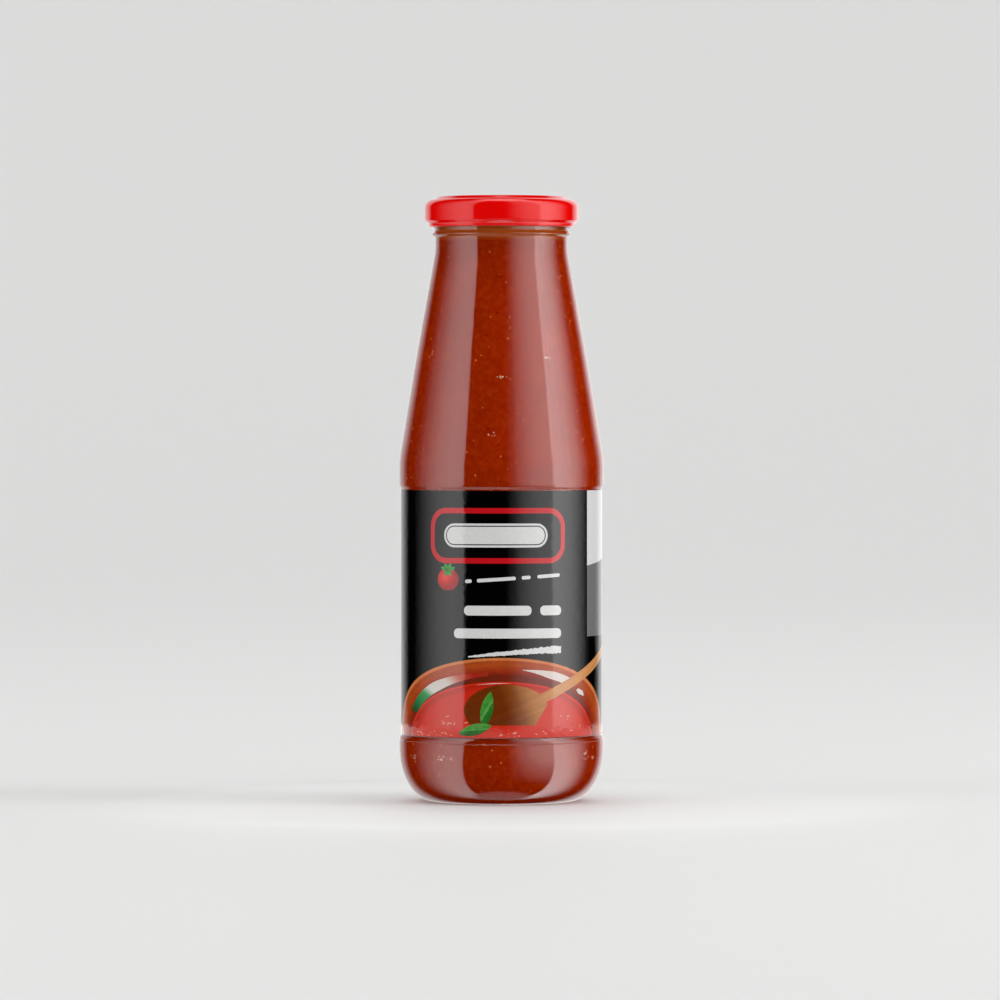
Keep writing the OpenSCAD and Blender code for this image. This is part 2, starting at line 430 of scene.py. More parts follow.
def glassOutside():
    b = bottle
    bearing = b["bodyRadius"] - b["heelWidth"]
    return swellCorners(bearing - b["bearingWidth"], 0, b["pushUp"]) + [
        (bearing - b["bearingWidth"], 0, 0)
    ] + ellipseCorners((bearing, b["heelHeight"]), (b["heelWidth"], b["heelHeight"]), -90, 0, 40) + [
        (b["bodyRadius"], b["panelFrom"] - b["rollHeight"], b["rollRounding"]),
        (b["panelRadius"], b["panelFrom"], b["edgeRounding"]),
        (b["panelRadius"], b["panelTo"], b["edgeRounding"]),
        (b["bodyRadius"], b["panelTo"] + b["rollHeight"], b["rollRounding"]),
        (b["bodyRadius"], b["shoulderFrom"], b["shoulderRounding"]),
        (*b["crown"], b["crownRounding"]),
        (b["neckRadius"], b["neckFrom"], b["neckRounding"]),
        (b["neckRadius"], b["ringUnder"], b["edgeRounding"]),
        (*b["ring"], b["ringRounding"]),
        (b["finishRadius"], b["finishFrom"], b["edgeRounding"]),
        (b["finishRadius"], b["rim"], b["rimRounding"]),
    ]


def clearGlass():
    # flint glass that lets the lamps through to what it holds
    material, tree, shader = newMaterial("flintGlass", (1, 1, 1), 0.0,
                                         values={"Transmission Weight": 1})
    waves = objectNoise(tree, 42, 2, 0.4, (1, 1, 0.35))
    addBump(tree, shader, waves, 0.00012, 0.35)
    rays = addNode(tree, "ShaderNodeLightPath")
    letThrough = addNode(tree, "ShaderNodeBsdfTransparent", {"Color": (0.93, 0.93, 0.93, 1)})
    mixed = addNode(tree, "ShaderNodeMixShader")
    tree.links.new(rays.outputs["Is Shadow Ray"], mixed.inputs["Fac"])
    tree.links.new(shader.outputs[0], mixed.inputs[1])
    tree.links.new(letThrough.outputs[0], mixed.inputs[2])
    tree.links.new(mixed.outputs[0], tree.nodes["Material Output"].inputs["Surface"])
    return material


def buildGlass():
    inside = glassInside(0, bottle["rim"], bottle["rimRounding"])
    outline = rounded(glassOutside() + inside[::-1])
    place(lathe(outline, 160), "glassBottle", "bottle", [clearGlass()])


buildGlass()
print("glass ready")


passata = {
    "reach": -0.08,  # into the glass, so that no air shows between them
    "level": 216.4,
    "colour": (0.40, 0.025, 0.0009),
    "pale": (0.47, 0.045, 0.003),
    "dark": (0.35, 0.018, 0.0008),
    # pulp and skin in the flesh: cells per metre, how much of a cell shows, colour
    "spots": [(330, 0.17, (0.72, 0.20, 0.045)), (210, 0.10, (0.13, 0.006, 0.001))],
    "neck": (0.62, 0.13, 0.02),  # painted light: the flesh paler up in the finish, where light comes through the thick glass, and the flesh is thinner there too
    "neckFrom": 208.2,
    "neckTo": 211.0,
    "seeds": 90,
    "seedHeights": (14, 205),
    "seedSizes": (0.14, 0.26),  # half their height, smallest and largest
    "clusterLargest": 0.34,
    "seedDepth": 0.14,
    "seedIn": 0.04,  # how far their middles lie inside the flesh
    # where seeds, skins and painted glints gather: degrees right of the front, height, how many
    "clusters": [(-2, 158.2, 5), (3, 157.6, 3), (-6, 136.8, 4), (-62, 17.4, 9), (-38, 17.0, 9),
                 (-30, 17.2, 3), (58, 17.6, 8), (66, 17.2, 5), (34, 165, 3), (140, 150, 5),
                 (-120, 60, 4)],
}


def passataFlesh():
    # the glass takes its shine away
    material, tree, shader = newMaterial("sievedTomato", passata["colour"], 0.55,
                                         values={"Specular IOR Level": 0})
    pulp = objectNoise(tree, 520, 5, 0.6)
    tone = ramp(tree, pulp, [(0.3, passata["dark"]), (0.5, passata["colour"]),
                             (0.74, passata["pale"])])
    clouds = objectNoise(tree, 70, 2, 0.5)
    shade = ramp(tree, clouds, [(0.3, 0.93), (0.7, 1.06)])
    colour = mixColours(tree, 1.0, tone, shade, "MULTIPLY")
    for scale, reach, tint in passata["spots"]:
        cells = addNode(tree, "ShaderNodeTexVoronoi", {"Scale": scale})
        tree.links.new(objectPlace(tree), cells.inputs["Vector"])
        spots = ramp(tree, cells.outputs["Distance"], [(reach * 0.55, 1), (reach, 0)])
        chosen = addNode(tree, "ShaderNodeSeparateColor")
        tree.links.new(cells.outputs["Color"], chosen.inputs[0])
        some = ramp(tree, chosen.outputs[0], [(0.45, 0), (0.6, 0.85)])
        colour = mixColours(tree, mixColours(tree, 1.0, spots, some, "MULTIPLY"), colour, tint)
    # painted light: the flesh turns paler between these heights, up in the finish
    thin = fade(tree, splitAxes(tree, objectPlace(tree))["Z"],
                passata["neckFrom"] * mm, passata["neckTo"] * mm)
    colour = mixColours(tree, thin, colour, passata["neck"])
    tree.links.new(colour, shader.inputs["Base Color"])
    return material


def radiusAt(outline, height):
    # the widest place of an outline at a height
    found = [a[0] + (b[0] - a[0]) * (height - a[1]) / (b[1] - a[1])
             for a, b in zip(outline, outline[1:]) if min(a[1], b[1]) <= height <= max(a[1], b[1])
             and abs(a[1] - b[1]) > 1e-6]
    return max(found)


def buildSeedsAndGlints(outline):
    # bits of skin and seed that lie against the glass, pale enough to serve as painted glints on
    # seeds and bubbles too
    chance = random.Random(4)
    smallest, largest = passata["seedSizes"]
    spots = [(chance.uniform(-180, 180), chance.uniform(*passata["seedHeights"]), largest)
             for _ in range(passata["seeds"])]
    largest = passata["clusterLargest"]
    for turn, height, count in passata["clusters"]:
        spots += [(turn + chance.gauss(0, 2.0), height + chance.gauss(0, 0.6), largest)
                  for _ in range(count)]
    bm = bmesh.new()
    for turn, height, largest in spots:
        r = radiusAt(outline, height) - passata["seedIn"]
        verts = bmesh.ops.create_icosphere(bm, subdivisions=1, radius=1)["verts"]
        size = chance.uniform(smallest, largest)
        bmesh.ops.scale(bm, verts=verts, vec=(size * chance.uniform(1, 2.2),
                                              passata["seedDepth"], size))
        lie = Matrix.Rotation(chance.uniform(-1.2, 1.2), 3, "Y")
        bmesh.ops.rotate(bm, verts=verts, cent=(0, 0, 0), matrix=lie)
        bmesh.ops.translate(bm, verts=verts, vec=(0, -r, height))
        bmesh.ops.rotate(bm, verts=verts, cent=(0, 0, 0),
                         matrix=Matrix.Rotation(math.radians(turn), 3, "Z"))
    bmesh.ops.scale(bm, verts=bm.verts, vec=(mm, mm, mm))
    material, tree, shader = newMaterial("seedSkinAndGlint", (0.8, 0.36, 0.17), 0.5,
                                         values={"Specular IOR Level": 0})
    # pale skin and seed colour, partly a painted highlight for glints
    tone = ramp(tree, objectNoise(tree, 500, 2), [(0.35, (0.78, 0.26, 0.09)),
                                                  (0.6, (0.95, 0.72, 0.52))])
    tree.links.new(tone, shader.inputs["Base Color"])
    place(bm, "passataSeedsAndGlints", "passata", [material])


def buildPassata():
    level = passata["level"]
    outline = rounded(glassInside(passata["reach"], level, 0) + [(0, level, 0)])
    place(lathe(outline, 144), "passataFill", "passata", [passataFlesh()])
    buildSeedsAndGlints(outline)


buildPassata()
print("passata ready")


lid = {
    "radius": 28.6,
    "foot": 213.6,
    "shoulder": 223.9,
    "top": 225.0,
    "metal": 0.3,
    "edge": 3.0,
    "curl": 0.7,
    "drawIn": 1.0,  # how far the skirt draws in to its curl
    "drawHeight": 1.0,
    "bend": 0.5,
    "raisedRadius": 23.4,
    "raisedSlope": 1.5,
    "raisedEdge": 0.6,
    "lugs": 4,
    "lugHalfArc": 21,  # degrees
    "lugDepth": 0.6,
    "lugHeight": 3.3,
    "lugFade": 1.8,  # the height over which a lug's press dies away
    "rows": (2.4, 1.7, 1.2, 0.8, 0.5),  # heights above the bend where the skirt can flex
    # the painted highlight along the bend: its foot and top, and how it swells over each lug
    "glint": (214.45, 214.95),
    "glintSwell": 0.8,
    "glintArc": 12,  # degrees
    "glintFade": (0.2, 0.25),  # below and above
    "glintStrength": (0.5, 0.35),  # all round, and how much more over a lug
    "colour": (0.86, 0.0003, 0.0002),
    "pale": (0.90, 0.13, 0.14),  # painted sheen: the lacquer turned pale where seen nearly edge on, in place of reflections; the painted highlight along the bend uses it too
    "ior": 1.33,
    "roughness": (0.07, 0.13),  # where it is least and most worn
}


def lidOutline():
    s = lid
    curlOut = s["radius"] - s["drawIn"]
    curlHeight = s["foot"] + s["curl"]
    low = curlHeight + s["curl"]
    high = low + s["drawHeight"]
    outside = [
        (0, s["top"], 0),
        (s["raisedRadius"], s["top"], s["raisedEdge"]),
        (s["raisedRadius"] + s["raisedSlope"], s["shoulder"], s["raisedEdge"]),
        (s["radius"], s["shoulder"], s["edge"]),
    ] + [(s["radius"], high + step, 0) for step in s["rows"]] + [
        (s["radius"], high, s["bend"]),
        (curlOut, low, s["bend"] - s["metal"]),
    ]
    join = math.degrees(math.acos((s["curl"] - s["metal"]) / s["curl"]))
    curl = ellipseCorners((curlOut - s["curl"], curlHeight), (s["curl"], s["curl"]),
                          0, join - 360, 32)
    shift = s["metal"] * math.tan(math.atan2(s["top"] - s["shoulder"], s["raisedSlope"]) / 2)
    rise = s["metal"] * math.tan(math.atan2(s["drawIn"], s["drawHeight"]) / 2)
    inside = [
        (curlOut - s["metal"], low + rise, s["bend"]),
        (s["radius"] - s["metal"], high + rise, s["bend"] - s["metal"]),
    ] + [(s["radius"] - s["metal"], high + step, 0) for step in s["rows"][::-1]] + [
        (s["radius"] - s["metal"], s["shoulder"] - s["metal"], s["edge"] - s["metal"]),
        (s["raisedRadius"] + s["raisedSlope"] - shift, s["shoulder"] - s["metal"], s["raisedEdge"]),
        (s["raisedRadius"] - shift, s["top"] - s["metal"], s["raisedEdge"] - s["metal"] / 2),
        (0, s["top"] - s["metal"], 0),
    ]
    return rounded(outside + curl + inside, 1.2)


def pressLugs(bm):
    # the lower skirt and its curl, pressed inwards at each lug
    half = 180 / lid["lugs"]
    for vert in bm.verts:
        height = vert.co.z / mm - lid["foot"]
        if height > lid["lugHeight"]:
            continue
        angle = math.degrees(math.atan2(vert.co.y, vert.co.x)) + 90
        off = (angle + half) % (2 * half) - half
        along = max(0, 1 - abs(off) / lid["lugHalfArc"])
        along = along * along * (3 - 2 * along)
        up = max(0, min(1, (lid["lugHeight"] - height) / lid["lugFade"]))
        up = up * up * (3 - 2 * up)
        r = math.hypot(vert.co.x, vert.co.y)
        vert.co.xy *= 1 - lid["lugDepth"] * mm * along * up / r


def bendGlint(tree):
    # a painted highlight, strongest along the bend, swelling upwards over each lug
    x, y, z = splitAxes(tree, objectPlace(tree))
    turn = addMath(tree, "ARCTAN2", x, addMath(tree, "MULTIPLY", y, -1))
    off = addMath(tree, "PINGPONG", turn, math.pi / lid["lugs"])
    off = addMath(tree, "DIVIDE", off, math.radians(lid["glintArc"]))
    fall = addMath(tree, "SUBTRACT", 1, addMath(tree, "MULTIPLY", off, off))
    swell = addMath(tree, "MAXIMUM", fall, 0)
    foot, top = lid["glint"]
    fadeBelow, fadeAbove = lid["glintFade"]
    allRound, overLug = lid["glintStrength"]
    top = addMath(tree, "MULTIPLY_ADD", swell, lid["glintSwell"] * mm, top * mm)
    below = addMath(tree, "DIVIDE", addMath(tree, "SUBTRACT", top, z), fadeAbove * mm)
    above = addMath(tree, "DIVIDE", addMath(tree, "SUBTRACT", z, foot * mm), fadeBelow * mm)
    inside = addMath(tree, "MINIMUM", addMath(tree, "MINIMUM", below, above), 1)
    inside = addMath(tree, "MAXIMUM", inside, 0)
    return addMath(tree, "MULTIPLY", inside,
                   addMath(tree, "MULTIPLY_ADD", swell, overLug, allRound))


def redLacquer():
    material, tree, shader = newMaterial("redLacquer", lid["colour"], 0.09, lid["ior"])
    peel = objectNoise(tree, 900, 2, 0.4)
    addBump(tree, shader, peel, 0.000012, 0.3)
    # painted sheen: pale where the lacquer is seen nearly edge on, standing in for reflections
    edgeOn = addNode(tree, "ShaderNodeLayerWeight", {"Blend": 0.5})
    sheen = ramp(tree, edgeOn.outputs["Facing"], [(0.60, 0), (0.66, 1)])
    tone = mixColours(tree, sheen, lid["colour"], lid["pale"])
    # painted highlight along the bend, in the pale sheen colour
    tone = mixColours(tree, bendGlint(tree), tone, lid["pale"])
    tree.links.new(tone, shader.inputs["Base Color"])
    wear = fade(tree, objectNoise(tree, 120, 4, 0.6), 0, 1, lid["roughness"])
    tree.links.new(wear, shader.inputs["Roughness"])
    return material


def buildLid():
    bm = lathe(lidOutline(), 192)
    pressLugs(bm)
    place(bm, "twistLid", "lid", [redLacquer()])


buildLid()
print("lid ready")


label = {
    "innerRadius": 37.35,
    "paper": 0.15,
    "from": 25.2,
    "to": 116.0,
    "lap": 8.0,
    "lapGlue": 0.04,
    "climb": 5,  # degrees over which the strip climbs onto its own start
    "ink": (0.0006, 0.0006, 0.0006),
    "gloss": 0.09,
    "ior": 1.38,
}
faceRadius = label["innerRadius"] + label["paper"]


def paperSurface(name, colour):
    # coated paper under one layer of ink: even gloss with the paper's slight cockle
    material, tree, shader = newMaterial(name, colour, label["gloss"], label["ior"])
    cockle = objectNoise(tree, 260, 2, 0.5)
    grain = objectNoise(tree, 2600, 2, 0.5)
    both = addMath(tree, "MULTIPLY_ADD", grain, 0.02, cockle)
    addBump(tree, shader, both, 0.00013, 0.5)
    return material, tree, shader


def buildPaper():
    # a flat strip, wound once round the panel with its end lapped over its start at the back
    lapTurn = label["lap"] / label["innerRadius"]
    bm = bmesh.new()
    bmesh.ops.create_grid(bm, x_segments=400, y_segments=6, size=0.5)
    for vert in bm.verts:
        turned = (vert.co.x + 0.5) * (2 * math.pi + lapTurn)
        climbed = max(0, min(1, (math.degrees(turned) - 360 + label["climb"]) / label["climb"]))
        r = faceRadius + (label["paper"] + label["lapGlue"]) * (1 - math.cos(math.pi * climbed)) / 2
        a = math.pi / 2 - lapTurn / 2 + turned
        z = label["from"] + (label["to"] - label["from"]) * (vert.co.y + 0.5)
        vert.co = Vector((r * math.cos(a), r * math.sin(a), z)) * mm
    bmesh.ops.recalc_face_normals(bm, faces=bm.faces)
    outward = sum(f.normal.dot(f.calc_center_median() * Vector((1, 1, 0))) for f in bm.faces)
    if outward < 0:
        bmesh.ops.reverse_faces(bm, faces=bm.faces)
    bmesh.ops.solidify(bm, geom=bm.faces, thickness=label["paper"] * mm)
    piece = place(bm, "labelPaper", "label",
                  [paperSurface("blackPrint", label["ink"])[0]])
    piece.data.set_sharp_from_angle(angle=math.radians(30))


buildPaper()
print("label paper ready")


# the print is laid out flat, in millimetres along the label from its front and up from the ground,
# then wound onto the paper in thin layers
inks = {
    "white": (0.72, 0.72, 0.71),
    "red": (0.56, 0.006, 0.012),
    "grey": (0.17, 0.17, 0.17),
    "panel": (0.70, 0.70, 0.70),
}
layerStep = 0.012
flatUnit = 100  # millimetres of label to one unit of its flat map
longestFlat = 1.2  # millimetres between the cuts that let a shape bend round


def roundedBar(bm, centre, length, height, corner, tilt=0):
    verts = bmesh.ops.create_grid(bm, x_segments=1, y_segments=1, size=0.5)["verts"]
    bmesh.ops.scale(bm, verts=verts, vec=(length, height, 1))
    if corner:
        verts = bmesh.ops.bevel(bm, geom=verts, offset=corner, segments=8, affect="VERTICES",
                                profile=0.5, material=-1)["verts"]
    bmesh.ops.rotate(bm, verts=verts, cent=(0, 0, 0),
                     matrix=Matrix.Rotation(math.radians(tilt), 3, "Z"))
    bmesh.ops.translate(bm, verts=verts, vec=(*centre, 0))


def disc(bm, centre, size, segments, tilt=0, point=0):
    # an ellipse, or with point above 0 a leaf whose two ends draw out to tips
    verts = bmesh.ops.create_circle(bm, cap_ends=True, segments=segments, radius=1)["verts"]
    if point:
        for vert in verts:
            vert.co.y *= 1 - point * (1 - (1 - vert.co.x ** 2) ** 0.5)
    bmesh.ops.scale(bm, verts=verts, vec=(*size, 1))
    bmesh.ops.rotate(bm, verts=verts, cent=(0, 0, 0),
                     matrix=Matrix.Rotation(math.radians(tilt), 3, "Z"))
    bmesh.ops.translate(bm, verts=verts, vec=(*centre, 0))


def arcBand(bm, centre, size, inner, outer, start, end, taper):
    # a band between two shares of an ellipse; taper thins its start and its end
    edge = [bm.verts.new((inner, 0, 0)), bm.verts.new((outer, 0, 0))]
    bmesh.ops.rotate(bm, verts=edge, cent=(0, 0, 0),
                     matrix=Matrix.Rotation(math.radians(start), 3, "Z"))
    before = set(bm.verts) - set(edge)
    bmesh.ops.spin(bm, geom=edge + [bm.edges.new(edge)], cent=(0, 0, 0), axis=(0, 0, 1),
                   angle=math.radians(end - start), steps=60)
    made = [v for v in bm.verts if v not in before]
    middle = (inner + outer) / 2
    for vert in made:
        turned = (math.degrees(math.atan2(vert.co.y, vert.co.x)) - start) / (end - start)
        turned = max(0, min(1, turned))
        share = min(1, taper[0] + (1 - taper[0]) * turned * 2,
                    taper[1] + (1 - taper[1]) * (1 - turned) * 2)
        length = vert.co.length
        vert.co *= (middle + (length - middle) * share) / length
    bmesh.ops.scale(bm, verts=made, vec=(*size, 1))
    bmesh.ops.translate(bm, verts=made, vec=(*centre, 0))


def trimFlat(bm, point, direction):
    # cuts away what lies beyond a line, on the side that direction points to
    bmesh.ops.bisect_plane(bm, geom=bm.verts[:] + bm.edges[:] + bm.faces[:],
                           plane_co=(*point, 0), plane_no=(*direction, 0), clear_outer=True)


def windOn(bm, name, material, layer):
    # winds flat shapes onto the label, keeping their flat places as their own map
    low = min(v.co.x for v in bm.verts)
    high = max(v.co.x for v in bm.verts)
    cuts = max(1, math.ceil((high - low) / longestFlat))
    for k in range(1, cuts):
        bmesh.ops.bisect_plane(bm, geom=bm.verts[:] + bm.edges[:] + bm.faces[:],
                               plane_co=(low + (high - low) * k / cuts, 0, 0), plane_no=(1, 0, 0))
    bmesh.ops.remove_doubles(bm, verts=bm.verts, dist=1e-4)
    for face in bm.faces:
        face.normal_update()
        if face.normal.z < 0:
            face.normal_flip()
    flat = bm.loops.layers.uv.new("flat")
    for face in bm.faces:
        for loop in face.loops:
            loop[flat].uv = loop.vert.co.xy / flatUnit
    r = faceRadius + layer * layerStep
    for vert in bm.verts:
        a = vert.co.x / faceRadius
        vert.co = Vector((r * math.sin(a), -r * math.cos(a), vert.co.y)) * mm
    piece = place(bm, name, "label", [material])
    piece.data.normals_split_custom_set_from_vertices(
        [Vector((v.co.x, v.co.y, 0)).normalized() for v in piece.data.vertices])


def flatPlace(tree, centre, size, turn=0):
    # the flat map measured from centre, in shares of size, all in millimetres
    source = addNode(tree, "ShaderNodeUVMap", uv_map="flat")
    shift = addNode(tree, "ShaderNodeMapping", {
        "Location": (-centre[0] / flatUnit, -centre[1] / flatUnit, 0)})
    scaled = addNode(tree, "ShaderNodeMapping", {
        "Rotation": (0, 0, -math.radians(turn)),
        "Scale": (flatUnit / size[0], flatUnit / size[1], 1)})
    tree.links.new(source.outputs[0], shift.inputs["Vector"])
    tree.links.new(shift.outputs[0], scaled.inputs["Vector"])
    return scaled.outputs[0]


def flatLength(tree, vector):
    node = addNode(tree, "ShaderNodeVectorMath", operation="LENGTH")
    tree.links.new(vector, node.inputs[0])
    return node.outputs["Value"]


def printInk(name, colour, spread=0.05):
    # a solid ink, a little uneven where it lies on the paper's grain
    material, tree, shader = paperSurface(name, colour)
    even = ramp(tree, objectNoise(tree, 900, 3, 0.6), [(0.3, 1 - spread), (0.7, 1 + spread)])
    tree.links.new(mixColours(tree, 1.0, colour, even, "MULTIPLY"), shader.inputs["Base Color"])
    return material


whiteInk = printInk("whiteInk", inks["white"])
redInk = printInk("redInk", inks["red"])
greyInk = printInk("greyInk", inks["grey"])
panelInk = printInk("panelInk", inks["panel"], 0.02)

front = {
    "frame": {"centre": (-1.8, 99.5), "length": 54, "height": 20.4, "corner": 7, "rule": 2.0},
    "plate": {"centre": (-2.4, 99.6), "length": 40, "height": 8.8, "corner": 4.3,
              "lineIn": 0.8, "line": 0.4},
    "signature": {"from": (-13.7, 82.7), "tilt": 3.6, "height": 1.3,
                  "words": [(0, 2.6), (4.6, 19.0), (21.2, 24.6), (27.2, 36.6)]},
    "lines": [(72.0, [(-14.1, 11.2), (14.6, 23.4)]), (63.6, [(-18.2, 23.4)])],
    "lineHeight": 3.6,
    "stroke": {"from": (-12.5, 55.0), "to": (23.4, 57.7), "thin": 0.35, "thick": 2.7},
    # its leaves are given as a direction in degrees and a length
    "tomato": {"centre": (-20.8, 83.4), "size": (4.6, 4.1),
               "leaves": [(18, 3.0), (62, 2.6), (118, 2.6), (162, 3.0), (-52, 2.3), (232, 2.3)]},
}


def buildFrame():
    s = front["frame"]
    bm = bmesh.new()
    roundedBar(bm, s["centre"], s["length"], s["height"], s["corner"])
    faces = bm.faces[:]
    bmesh.ops.inset_region(bm, faces=faces, thickness=s["rule"], use_boundary=True)
    bmesh.ops.delete(bm, geom=faces, context="FACES")
    windOn(bm, "printFrame", redInk, 1)


def buildWords():
    bm = bmesh.new()
    s = front["plate"]
    roundedBar(bm, s["centre"], s["length"], s["height"], s["corner"])
    middle = bm.faces[:]
    bmesh.ops.inset_region(bm, faces=middle, thickness=s["lineIn"], use_boundary=True)
    line = bmesh.ops.inset_region(bm, faces=middle, thickness=s["line"], use_boundary=True)
    bmesh.ops.delete(bm, geom=line["faces"], context="FACES")
    s = front["signature"]
    tilt = math.radians(s["tilt"])
    for start, end in s["words"]:
        middle = (start + end) / 2
        at = (s["from"][0] + middle * math.cos(tilt), s["from"][1] + middle * math.sin(tilt))
        roundedBar(bm, at, end - start, s["height"], s["height"] * 0.45, s["tilt"])
    for height, bars in front["lines"]:
        for start, end in bars:
            roundedBar(bm, ((start + end) / 2, height), end - start, front["lineHeight"],
                       front["lineHeight"] * 0.45)
    windOn(bm, "printBars", whiteInk, 1)


def buildStroke():
    # a dry brush stroke, thin where it starts and ragged along its edges
    s = front["stroke"]
    chance = random.Random(7)
    bm = bmesh.new()
    verts = bmesh.ops.create_grid(bm, x_segments=90, y_segments=1, size=0.5)["verts"]
    ragged = {}
    for vert in verts:
        along, side = vert.co.x + 0.5, 1 if vert.co.y > 0 else -1
        key = (round(along, 4), side)
        if key not in ragged:
            ragged[key] = chance.uniform(-0.28, 0.22) * (0.3 + along)
        half = (s["thin"] + (s["thick"] - s["thin"]) * along ** 0.7) / 2
        bow = 0.7 * math.sin(math.pi * along)
        vert.co.x = s["from"][0] + (s["to"][0] - s["from"][0]) * along
        vert.co.y = (s["from"][1] + (s["to"][1] - s["from"][1]) * along + bow * 0.5
                     + side * half + ragged[key])
    windOn(bm, "printStroke", whiteInk, 1)


def buildTomato():
    s = front["tomato"]
    bm = bmesh.new()
    disc(bm, s["centre"], s["size"], 48)
    material, tree, shader = paperSurface("printedTomato", inks["red"])
    lightest = (s["centre"][0] - 1.2, s["centre"][1] + 1)
    body = flatLength(tree, flatPlace(tree, lightest, s["size"]))
    tone = ramp(tree, body, [(0.1, (0.75, 0.05, 0.04)), (0.6, (0.56, 0.012, 0.012)),
                             (1.2, (0.36, 0.004, 0.006))])
    tree.links.new(tone, shader.inputs["Base Color"])
    windOn(bm, "printTomato", material, 1)
    bm = bmesh.new()
    for turn, long in s["leaves"]:
        a = math.radians(turn)
        at = (s["centre"][0] + math.cos(a) * long / 2,
              s["centre"][1] + s["size"][1] * 0.82 + math.sin(a) * long / 2)
        disc(bm, at, (long / 2 + 0.3, 0.75), 20, turn, 0.8)
    windOn(bm, "printTomatoLeaves", printInk("leafInk", (0.04, 0.27, 0.04), 0.2), 2)


buildFrame()
buildWords()
buildStroke()
buildTomato()
print("label words ready")


# the picture along the label's foot: a clay bowl of sauce, a spoon and two leaves
bowl = {
    "centre": (0, 27.0),
    "size": (51.8, 27.7),
    "sauceCentre": (0, 24.2),
    "sauceSize": (41.3, 21.7),
    "foot": label["from"] + 0.05,
    "clay": (0.41, 0.062, 0.011),
    "clayLight": (0.70, 0.22, 0.07),
    "clayDark": (0.17, 0.018, 0.006),
    "sauce": (0.62, 0.022, 0.006),
    "sauceLight": (0.66, 0.05, 0.02),
    "spoonCentre": (1.9, 35.2),
    "spoonSize": (16.0, 9.6),
    "spoonHeel": (15.6, 34.5),  # the bowl is cut square beside the handle
    "spoonDip": 29.8,  # height at which the bowl of the spoon meets the sauce
    "handleFrom": (13.2, 38.6),
    "handleTo": (58.5, 58.6),
    "handleWidth": 3.7,
    # bands round the rim: inner and outer share of the bowl, first and last degree, and how much
    # of its width is left at each end
    "stripes": (0.73, 0.85, 97, 161, (0.4, 0.75)),
    "shines": [(0.80, 0.90, 48, 80, (0.9, 0.02)), (0.80, 0.86, 35, 43, (0.2, 0.5)),
               (0.655, 0.665, 84, 106, (0.1, 0.1))],
    # where pulp gathers: across, height, how many
    "flecks": [(-19.6, 30.2, 12), (-23.5, 26.3, 7), (-34.5, 26.2, 6), (3.4, 26.6, 9),
               (25, 33.5, 3), (33, 29.5, 3), (14, 27.4, 3)],
    "leafUp": {"centre": (-5.4, 35.6), "size": (6.8, 2.3), "turn": 78},
    "leafAlong": {"centre": (-10.0, 28.2), "size": (6.6, 2.1), "turn": 14},
}


def clayInk():
    material, tree, shader = paperSurface("printedClay", bowl["clay"])
    out = flatLength(tree, flatPlace(tree, bowl["centre"], bowl["size"]))
    tone = ramp(tree, out, [
        (0.76, bowl["clayDark"]), (0.81, (0.30, 0.024, 0.006)), (0.855, (0.38, 0.042, 0.007)),
        (0.90, (0.42, 0.068, 0.011)), (0.955, bowl["clay"]), (0.975, bowl["clayLight"]),
        (1.0, (0.55, 0.16, 0.05)),
    ])
    fire = ramp(tree, objectNoise(tree, 190, 4, 0.6, (1, 1, 2.2)), [(0.3, 0.85), (0.7, 1.12)])
    tree.links.new(mixColours(tree, 1.0, tone, fire, "MULTIPLY"), shader.inputs["Base Color"])
    return material


def sauceInk():
    material, tree, shader = paperSurface("printedSauce", bowl["sauce"])
    swirl = objectNoise(tree, 150, 4, 0.6, (1, 1, 2))
    tone = ramp(tree, swirl, [(0.35, bowl["sauce"]), (0.62, bowl["sauce"]),
                              (0.76, bowl["sauceLight"])])
    edge = flatLength(tree, flatPlace(tree, bowl["sauceCentre"], bowl["sauceSize"]))
    shade = ramp(tree, edge, [(0.86, 1.0), (0.955, 0.72), (0.985, 1.15), (1.0, 0.9)])
    tree.links.new(mixColours(tree, 1.0, tone, shade, "MULTIPLY"), shader.inputs["Base Color"])
    return material


def flagInk():
    # green, white and red along the rim, fading into the clay
    material, tree, shader = paperSurface("printedStripes", inks["white"])
    turn = addNode(tree, "ShaderNodeTexGradient", gradient_type="RADIAL")
    tree.links.new(flatPlace(tree, bowl["centre"], bowl["size"]), turn.inputs["Vector"])
    tone = ramp(tree, turn.outputs["Fac"], [
        (0.765, (0.34, 0.035, 0.012)), (0.79, (0.40, 0.016, 0.008)), (0.815, (0.52, 0.09, 0.05)),
        (0.838, (0.66, 0.58, 0.52)), (0.874, (0.68, 0.66, 0.60)), (0.889, (0.04, 0.30, 0.08)),
        (0.925, (0.012, 0.16, 0.04)), (0.948, (0.03, 0.05, 0.01)),
    ])
    tree.links.new(tone, shader.inputs["Base Color"])
    return material


def woodInk():
    material, tree, shader = paperSurface("printedWood", (0.4, 0.2, 0.07))
    along = flatPlace(tree, bowl["spoonCentre"], (20, 20), 23)
    grain = addNode(tree, "ShaderNodeTexNoise", {"Scale": 1.0, "Detail": 4, "Roughness": 0.6})
    stretch = addNode(tree, "ShaderNodeMapping", {"Scale": (0.8, 9, 1)})
    tree.links.new(along, stretch.inputs["Vector"])
    tree.links.new(stretch.outputs[0], grain.inputs["Vector"])
    base = ramp(tree, splitAxes(tree, along)["X"], [
        (0.0, (0.16, 0.028, 0.002)), (0.25, (0.24, 0.06, 0.006)), (0.5, (0.44, 0.16, 0.03)),
        (1.0, (0.58, 0.25, 0.08)),
    ])
    veins = ramp(tree, grain.outputs["Fac"], [(0.35, 0.86), (0.65, 1.1)])
    tree.links.new(mixColours(tree, 1.0, base, veins, "MULTIPLY"), shader.inputs["Base Color"])
    return material


